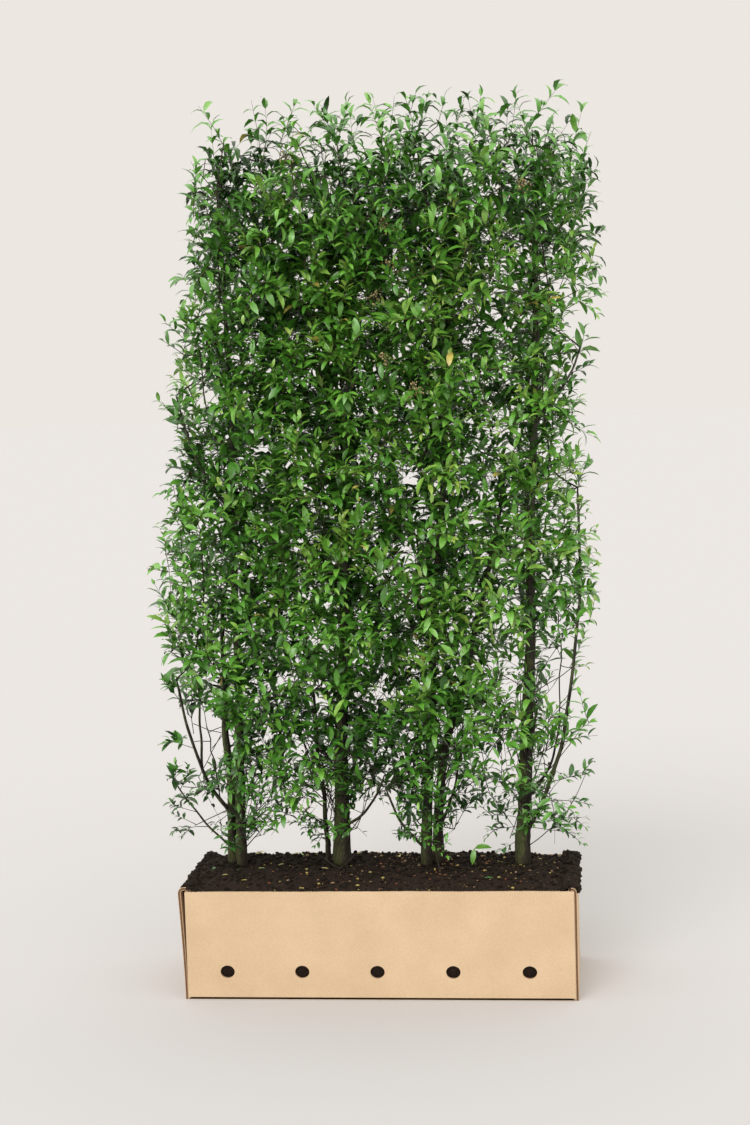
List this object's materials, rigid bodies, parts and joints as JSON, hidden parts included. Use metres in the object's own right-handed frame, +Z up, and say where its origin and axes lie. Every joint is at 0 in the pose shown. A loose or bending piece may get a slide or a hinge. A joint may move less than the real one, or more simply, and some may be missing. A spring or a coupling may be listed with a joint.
{
  "type": "privet hedge in a cardboard tray",
  "caption": "Ready-made privet hedge: upright multi-stemmed shrubs grown flat in a row, in dense leaf, standing in an open cardboard tray of soil with vent holes",
  "frame": {"origin": "middle of the tray's flat underside, where it rests on the ground", "axes": "+X along the row of plants, to the right seen from the front; +Y to the back; +Z up"},
  "size_m": [1.1679, 0.4001, 2.2667],
  "materials": {
    "cardboard": "matt brown kraft",
    "soil": "moist dark compost",
    "bark": "grey-brown, part mossy bark",
    "foliage": "semi-gloss green leaf"
  },
  "bodies": {
    "root": {"bough_1_low": "bark", "bough_1_middle": "bark", "bough_1_outer": "bark", "bough_1_upper": "bark", "bough_2_right": "bark", "bough_2_top": "bark", "bough_3_left": "bark", "bough_3_right": "bark", "bough_4_leader": "bark", "bough_4_low": "bark", "bough_4_outer": "bark", "bough_4_upper": "bark", "mass_1_back_1": "foliage", "mass_1_back_2": "foliage", "mass_1_back_3": "foliage", "mass_1_front_1": "foliage", "mass_1_front_2": "foliage", "mass_1_front_3": "foliage", "mass_1_front_4": "foliage", "mass_2_back_1": "foliage", "mass_2_back_2": "foliage", "mass_2_back_3": "foliage", "mass_2_front_1": "foliage", "mass_2_front_2": "foliage", "mass_2_front_3": "foliage", "mass_2_front_4": "foliage", "mass_3_back_1": "foliage", "mass_3_back_2": "foliage", "mass_3_back_3": "foliage", "mass_3_front_1": "foliage", "mass_3_front_2": "foliage", "mass_3_front_3": "foliage", "mass_3_front_4": "foliage", "mass_4_back_1": "foliage", "mass_4_back_2": "foliage", "mass_4_back_3": "foliage", "mass_4_front_1": "foliage", "mass_4_front_2": "foliage", "mass_4_front_3": "foliage", "mass_4_front_4": "foliage", "soil": "soil", "stem_1": "bark", "stem_1_left": "bark", "stem_2": "bark", "stem_2_side": "bark", "stem_3": "bark", "stem_3_right": "bark", "stem_4": "bark", "tray": "cardboard", "tray_end_left": "cardboard", "tray_end_right": "cardboard"}
  },
  "joints": []
}
